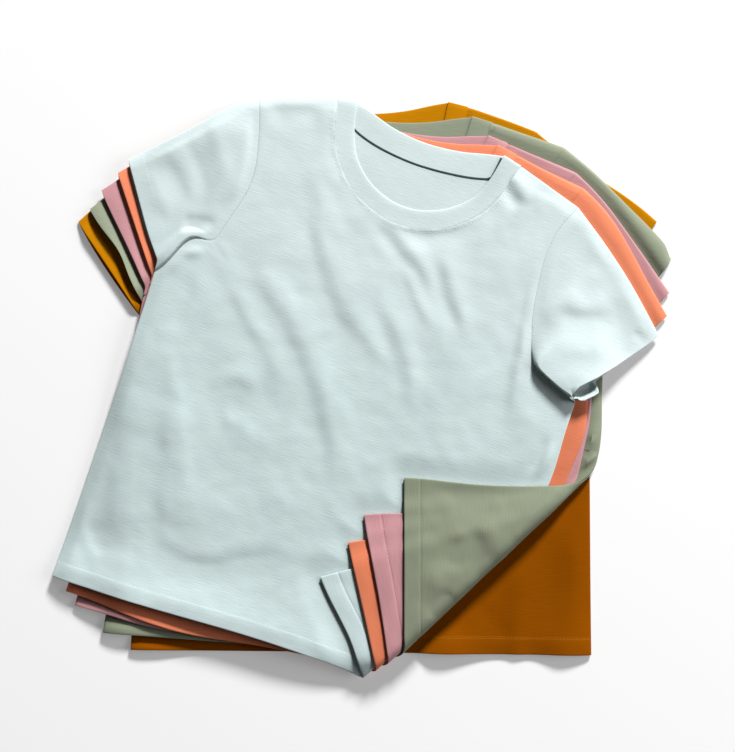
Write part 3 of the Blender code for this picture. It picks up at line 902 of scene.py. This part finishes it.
def sleeve_height(level, word, across, up, w, front, x, y):
    cloth = SHIRTS[level]["name"]
    side = SIDES[word]
    to_top = nearest(across, up, SLEEVE_LINE)[0]
    to_under = nearest(across, up, UNDERARM_LINE)[0]
    to_armhole, arm_share, _ = nearest(across, up, ARMHOLE_LINE)
    to_cuff = nearest(across, up, CUFF_LINE)[0]
    half = LAYER_HALF * rounded(to_top, SLEEVE_ROUND)
    half -= (LAYER_HALF - EDGE_HALF) * (1 - rounded(to_under, EDGE_ROUND)) * (w > 0.5)
    half -= SLEEVE_RELIEF * seam_dip(to_armhole) * ramp(to_top / 4)
    half += SLEEVE_RELIEF * hem_relief(to_cuff) * ramp(to_top / 5)
    seen_across, seen_up = eased(SHIRTS[level], side * across, up)
    rise = creased(side * seen_across, seen_up, SLEEVE_CREASES[word])
    rise += SLEEVE_LUMPS * lumpy(side * across, up, SLEEVE_LUMP_SIZE, level + 40)
    rise = never_sunk(rise + 1.0) * ramp(np.minimum(to_armhole, to_top) / SLEEVE_CALM)
    if level != TOP_LEVEL:
        rise *= LOWER_SLEEVE_SHARE
    rise += SLEEVE_PUFF[cloth] * rounded(to_top, PUFF_ROUND) * ramp(to_armhole / SEAM_BLEND)
    if level == TOP_LEVEL and word == "left":
        to_roll = np.hypot(across - ROLL_AT[0], up - ROLL_AT[1])
        roll = fading(to_roll, ROLL_REACH) * fading(to_armhole, ROLL_WIDTH)
        rise += ROLL_HEIGHT * roll * rounded(to_armhole, ROLL_ROUND)
    mouth = MOUTHS[word][cloth] * np.exp(-to_cuff / 10) * ramp(to_top / 20) * ramp(to_under / 10)
    arm_across, arm_up = points_at(ARMHOLE_LINE, arm_share)
    base = seam_level(cloth, edge_half(arm_across, arm_up)[1]) * (1 - ramp(to_armhole / SEAM_BLEND))
    top = SHIRT_MIDDLE + half + (1 - covered(level, x, y)) * (base + rise + mouth)
    bottom = np.maximum(SHIRT_MIDDLE - half, JERSEY_THICK / 2)
    if is_raised(level, word):
        low = ramp((w - 0.15) / 0.7)
        wall = UNDER_WALL + TOP_WALL * (1 - ramp((w - 0.5) / 0.25))
        seam = RAISED_SEAM * ramp((w - 0.5) / 0.5) * ramp(to_armhole / 5)
        open_here = rounded(to_under, 6)
        top = top + seam + (RAISED_TOP * low * ramp(to_armhole / wall) - seam) * open_here
        bottom = bottom + seam * (1 - open_here)
        bottom = bottom + LIP_HEIGHT * lip(w) * fading(to_cuff, LIP_FADE)
    return np.where(front, top, bottom)


def sleeve(level, word):
    """A sleeve's grid runs from the underarm over the back layer, round the top to the front's."""
    shirt = SHIRTS[level]
    cloth, side = shirt["name"], SIDES[word]
    step = TOP_SLEEVE_STEP if level == TOP_LEVEL else SLEEVE_STEP
    around = shares(1, step / SLEEVE_AROUND, TOP_LINES, UNDERARM_LINES)
    across_shares = np.concatenate([around - 1, (1 - around[::-1])[1:]])
    along_shares = shares(SLEEVE_LENGTH, step, EDGE_LINES[:4], HEM_LINES)
    mesh, s, t = jersey_grid(across_shares, along_shares)
    w = np.abs(s)
    front = s >= 0
    armhole = ARMHOLE_LINE[::-1] + (SEAM_GAP, 0)
    top = np.vstack([armhole[:1], SLEEVE_LINE[1:]])
    under = np.vstack([armhole[-1:], [CUFF_LOWER]])
    across, up = filled(armhole, CUFF_LINE, top, under, w, t, t)
    write_cut(mesh, side * across + np.where(front, 0, BACK_LAYER_CUT), up)
    if is_raised(level, word):
        reach = np.where(front, 0, LIP_REACH * lip(w) * ramp(t * 1.6 - 0.6))
    else:
        reach = np.where(front, 0, BACK_REACHES[word][cloth]) * np.sin(math.pi * w) ** 0.7
        reach = reach * ramp(t * 2 - 1)
    cuff_across = across + CUFF_OUT[0] * reach
    cuff_up = up + CUFF_OUT[1] * reach
    if is_raised(level, word):
        lean = overhang(w, nearest(across, up, ARMHOLE_LINE)[0]) * front
        corner_across = np.interp(w, CORNER_SHARES, (0, MOUTH_ACROSS[-1]))
        corner_up = np.interp(w, CORNER_SHARES, (0, MOUTH_UP[-1]))
        mouth_across = np.where(front, np.interp(w, MOUTH_SHARES, MOUTH_ACROSS), corner_across)
        mouth_up = np.where(front, np.interp(w, MOUTH_SHARES, MOUTH_UP), corner_up)
        cuff_across += OVERHANG[0] * lean + ramp(t) * mouth_across
        cuff_up += OVERHANG[1] * lean + ramp(t) * mouth_up
    x, y = placed(shirt, side * cuff_across, cuff_up)
    height = sleeve_height(level, word, across, up, w, front, x, y)
    move_to(mesh, settled(level, x, y, height))
    return thicken(mesh, cloth + "_sleeve_" + word + "_cloth", JERSEY_THICK)


for level, shirt in enumerate(SHIRTS):
    cloth = shirt["name"]
    for word in SIDES:
        piece = sleeve(level, word)
        dress(piece, cloth + "_sleeve_" + word, cloth)

# Neckbands: a strip of jersey folded lengthwise and sewn round the neck, 20 mm wide in front and
# 28 mm as it lies at the back, where its inside shows.
BACK_BAND_EDGE = [(0, 586.5), (22, 587.5), (45, 590.5), (63, 594.5), (77, 597.5), BAND_POINT]
BACK_EDGE = whole_line(BACK_BAND_EDGE)
BAND_HALF = 0.38
BAND_WIDTH = 22
BAND_ROUND = 7.0
BAND_STATIONS, TOP_BAND_STATIONS = 60, 110
BAND_BEND_STATIONS = 8
BAND_LIFT, TOP_BAND_LIFT = (0.5, 0.9), (0.0, 2.6)
BAND_LIFT_REACH = 0.12
BAND_LOOSENESS = 0.2
BAND_LUMPS = 0.15
BAND_LUMP_SIZE = 40
BAND_EDGE_DROP = 0.2


def neckband(level):
    """A ring: front half, bend at the right shoulder, back half, bend at the left shoulder."""
    shirt = SHIRTS[level]
    run = np.linspace(0, 1, TOP_BAND_STATIONS if level == TOP_LEVEL else BAND_STATIONS)
    bend = np.linspace(0, math.pi, BAND_BEND_STATIONS + 2)[1:-1]
    ones = np.ones(bend.shape)
    share = np.concatenate([run, ones, run[::-1], 0 * ones, run[:1]])
    angle = np.concatenate([0 * run, bend, 0 * run + math.pi, bend[::-1], [0]])
    front = np.concatenate([0 * run + 1, ones, 0 * run, ones, [1]])
    profile = np.concatenate([np.linspace(0, 1, 14)[:-1], [0.97, 0.99, 1.0]])
    lines = np.concatenate([profile, 2 - profile[::-1][1:]])
    mesh, s, v = jersey_grid(np.arange(len(share), dtype=float), lines)
    station = np.rint(s).astype(int)
    q, phi, is_front = share[station], angle[station], front[station] > 0
    width = np.where(v <= 1, v, 2 - v)
    over = np.where(v <= 1, 1.0, -1.0)
    front_edge, front_seam = points_at(FRONT_EDGE, q), points_at(FRONT_NECK + (0, SEAM_GAP), q)
    back_edge, back_seam = points_at(BACK_EDGE, q), points_at(BACK_NECK + (0, SEAM_GAP), q)
    edge = np.where(is_front, front_edge, back_edge)
    seam = np.where(is_front, front_seam, back_seam)
    across, up = seam + (edge - seam) * width
    from_fold = (1 - width) * BAND_WIDTH
    half = BAND_HALF * rounded(from_fold, BAND_ROUND) * over
    half = half - 0.5 * seam_dip(width * BAND_WIDTH) * (over > 0)
    lean = LAYER_HALF + half
    up = up + lean * np.sin(phi) * (0.2 + 0.8 * width)
    height = np.maximum(SHIRT_MIDDLE + lean * np.cos(phi), JERSEY_THICK / 2)
    lift = TOP_BAND_LIFT if level == TOP_LEVEL else BAND_LIFT
    standing = lift[0] * fading(q, BAND_LIFT_REACH) + lift[1] * fading(1 - q, BAND_LIFT_REACH)
    height = height + standing * width * is_front * np.cos(phi / 2)
    x, y = placed(shirt, across, up)
    if level == TOP_LEVEL:
        loose = BAND_LOOSENESS + BAND_LUMPS * lumpy(across, up, BAND_LUMP_SIZE, level + 60)
        height = height + loose * width * band_middle(q) * is_front
        drop = BAND_EDGE_DROP * (1 - rounded(from_fold, 5)) * ramp((1 - q) / 0.2)
        height = height - drop * is_front
    write_cut(mesh, across, up)
    move_to(mesh, settled(level, x, y, height))
    bmesh.ops.remove_doubles(mesh, verts=mesh.verts, dist=0.00001)
    bmesh.ops.recalc_face_normals(mesh, faces=mesh.faces)
    return thicken(mesh, shirt["name"] + "_neckband_cloth", JERSEY_THICK)


for level, shirt in enumerate(SHIRTS):
    piece = neckband(level)
    cloth = shirt["name"]
    dress(piece, cloth + "_neckband", cloth)

# Neck tape: a narrow slate twill tape sewn over the top shirt's back neck seam, its right end
# turned up inside the fold of the band. Its near-black slate is painted shadow for the shade line
# under the back neckband's edge, and the turned-up end is painted shadow of the front band's free
# edge.
TAPE_WIDTH = 2.2
TAPE_THICK = 0.4
TAPE_TURN = 0.84
TAPE_FROM, TAPE_TO = 0.09, 0.83
# Painted shadow: the turned-up end runs along the front band's free edge, where there is only that
# edge's shade.
TAPE_SHADOW_END = [(82.6, 573), (84.1, 580), (86.0, 589), (87.4, 597)]
painted_shadow_slate, slate_tree, slate_shader = matt("slate_tape_painted_shadow", 0.85)
slate_cut = slate_tree.nodes.new("ShaderNodeUVMap")
slate_cut.uv_map = "cut"
twill = cut_noise(slate_tree, slate_cut, (900, 900), 2)
# Painted shadow: a near-black slate twill colour, dark as the shade line it stands for.
painted_shadow_colour = mixed(slate_tree, twill, (0.014, 0.026, 0.032, 1), (0.034, 0.055, 0.064, 1))
slate_tree.links.new(painted_shadow_colour, slate_shader.inputs["Base Color"])
mesh, s, t = jersey_grid(np.linspace(0, 1, 130), np.linspace(-1, 1, 7))
tape_seam = np.stack(points_at(BACK_NECK, np.linspace(TAPE_FROM, TAPE_TO, 60)), axis=1)
tape_line = np.vstack([tape_seam, curve(TAPE_SHADOW_END)])
turned_shadow_end = ramp((s - TAPE_TURN) / 0.04)
tape_half = TAPE_WIDTH / 2 * (0.4 + 0.6 * ramp(s / 0.02)) * (1 - 0.2 * turned_shadow_end)
tape_half = tape_half * (1 + 0.9 * ramp((s - 0.9) / 0.1))
across, up = beside(tape_line, s, -t * tape_half)
write_cut(mesh, across, up)
x, y = placed(SHIRTS[TOP_LEVEL], across, up)
height = SHIRT_MIDDLE - LAYER_HALF + 0.8 - 0.35 * t * t + band_stand(across, up)
height += 0.7 * turned_shadow_end
move_to(mesh, settled(TOP_LEVEL, x, y, height))
tape = thicken(mesh, "blue_neck_tape", TAPE_THICK)
tape.data.materials.append(painted_shadow_slate)

# Stitching: twin rows of overlocked topstitch along hems, cuffs and necks, each stitch a short
# raised bead sunk into the cloth, in thread of the cloth's colour painted darker as painted shade
# for the dimples that the stitches pull in.
STITCH_PITCH = 3.4
STITCH_LENGTH = 2.5
STITCH_HALF = 0.19
STITCH_ROWS = (HEM_DEPTH - 0.9, HEM_DEPTH + 0.9)
NECK_ROWS = (3.0, 5.0)
CUFF_ROW_FROM, CUFF_ROW_SHARE = 0.05, 0.84


def thread(name, colour):
    material, tree, shader = matt(name, 0.7)
    place = tree.nodes.new("ShaderNodeTexCoord")
    fibre = tree.nodes.new("ShaderNodeTexNoise")
    fibre.inputs["Scale"].default_value = 2500
    tree.links.new(place.outputs["Object"], fibre.inputs["Vector"])
    # Painted shade: both tones are the cloth's colour made darker, for the dimples along the stitch
    # line, mottled by a fibre noise.
    dimple_shade = (*(value * 0.78 for value in colour), 1)
    light = (*(value * 0.95 for value in colour), 1)
    shade = mixed(tree, fibre.outputs["Fac"], dimple_shade, light)
    tree.links.new(shade, shader.inputs["Base Color"])
    return material


def stitch_line(mesh, starts, ends):
    for start, end in zip(starts, ends):
        start, end = Vector(start), Vector(end)
        turn = (end - start).to_track_quat("X", "Z").to_matrix().to_4x4()
        size = Matrix.Diagonal(((end - start).length / 2, STITCH_HALF * MM, STITCH_HALF * MM, 1))
        place = Matrix.Translation((start + end) / 2)
        bmesh.ops.create_icosphere(mesh, subdivisions=1, radius=1, matrix=place @ turn @ size)


def row_ends(length):
    """Where each stitch of a row begins and ends, as shares of the row's length."""
    begin = np.arange(STITCH_PITCH, length - STITCH_PITCH, STITCH_PITCH)
    return begin / length, (begin + STITCH_LENGTH) / length


def on_panel(level, across, up, height_of, outside):
    x, y = placed(SHIRTS[level], across, up)
    height = height_of(level, across, up, x, y) + outside * JERSEY_THICK / 2
    return settled(level, x, y, height)


neck_length = np.hypot(*np.diff(FRONT_NECK, axis=0).T).sum()
cuff_length = np.hypot(*(CUFF_LINE[1] - CUFF_LINE[0]))
for level, shirt in enumerate(SHIRTS):
    cloth = shirt["name"]
    mesh = bmesh.new()
    begin, finish = row_ends(2 * HEM_HALF_WIDTH)
    for row_up in STITCH_ROWS:
        for height_of, outside in ((front_height, 1), (back_height, -1)):
            if level == 0 and outside < 0:
                continue
            ends = []
            for place in (begin, finish):
                across = (place * 2 - 1) * HEM_HALF_WIDTH
                up = np.full(across.shape, row_up)
                ends.append(on_panel(level, across, up, height_of, outside))
            stitch_line(mesh, *ends)
    row = row_ends(neck_length)
    for away in NECK_ROWS:
        stitch_line(mesh, *[
            on_panel(level, *beside(FRONT_NECK, place, away), front_height, 1) for place in row
        ])
    row = row_ends(cuff_length * CUFF_ROW_SHARE)
    for word, side in SIDES.items():
        sleeve_data = bpy.data.objects[cloth + "_sleeve_" + word + "_cloth"].data
        corners = [vert.co[:] for vert in sleeve_data.vertices]
        surface = BVHTree.FromPolygons(corners, [face.vertices[:] for face in sleeve_data.polygons])
        for inward in STITCH_ROWS:
            ends = []
            for place in row:
                across, up = points_at(CUFF_LINE, CUFF_ROW_FROM + place * CUFF_ROW_SHARE)
                across, up = across - inward * CUFF_OUT[0], up - inward * CUFF_OUT[1]
                ends.append([
                    surface.ray_cast(Vector((x * MM, y * MM, 0.1)), Vector((0, 0, -1)))[0]
                    for x, y in zip(*placed(shirt, side * across, up))
                ])
            stitch_line(mesh, *ends)
    piece = as_piece(mesh, cloth + "_stitching")
    piece.data.materials.append(thread(cloth + "_thread", COLOURS[cloth]))

# Floor, light and camera: a plain white light table that glows faintly, a soft lamp from the
# upper right and a little light all round, and the camera straight above.
mesh = bmesh.new()
bmesh.ops.create_grid(mesh, x_segments=1, y_segments=1, size=4)
floor_data = bpy.data.meshes.new("floor")
mesh.to_mesh(floor_data)
mesh.free()
floor = bpy.data.objects.new("floor", floor_data)
bpy.context.scene.collection.objects.link(floor)
paper, _, paper_shader = matt("white_floor", 0.9)
paper_shader.inputs["Base Color"].default_value = grey(0.62)
paper_shader.inputs["Emission Color"].default_value = grey(1)
paper_shader.inputs["Emission Strength"].default_value = 0.22
floor_data.materials.append(paper)

LAMPS = [
    dict(name="key_lamp", place=(2.6, 6.72, 3.68), across=1.6, energy=1330.0),
    dict(name="side_lamp", place=(4.75, 0.53, 2.93), across=3.5, energy=140.0),
]
for row in LAMPS:
    lamp_data = bpy.data.lights.new(row["name"], "AREA")
    lamp_data.shape = "DISK"
    lamp_data.size = row["across"]
    lamp_data.energy = row["energy"]
    lamp = bpy.data.objects.new(row["name"], lamp_data)
    lamp.location = row["place"]
    lamp.rotation_euler = Vector(row["place"]).to_track_quat("Z", "Y").to_euler()
    bpy.context.scene.collection.objects.link(lamp)

world = bpy.data.worlds.new("studio")
world.use_nodes = True
sky = world.node_tree.nodes["Background"]
sky.inputs["Color"].default_value = grey(1)
sky.inputs["Strength"].default_value = 0.06
bpy.context.scene.world = world
bpy.context.scene.view_settings.view_transform = "Standard"

VIEW_CENTRE = (6.15, 14.5)
VIEW_WIDTH = 808.5
VIEW_HEIGHT = 2200.0
STACK_MIDDLE = 12
SENSOR = 36
camera_data = bpy.data.cameras.new("camera")
camera_data.sensor_fit = "HORIZONTAL"
camera_data.sensor_width = SENSOR
camera_data.lens = SENSOR * VIEW_HEIGHT / VIEW_WIDTH
camera = bpy.data.objects.new("camera", camera_data)
camera.location = (
    VIEW_CENTRE[0] * MM,
    VIEW_CENTRE[1] * MM,
    (VIEW_HEIGHT + STACK_MIDDLE) * MM,
)
bpy.context.scene.collection.objects.link(camera)
bpy.context.scene.camera = camera
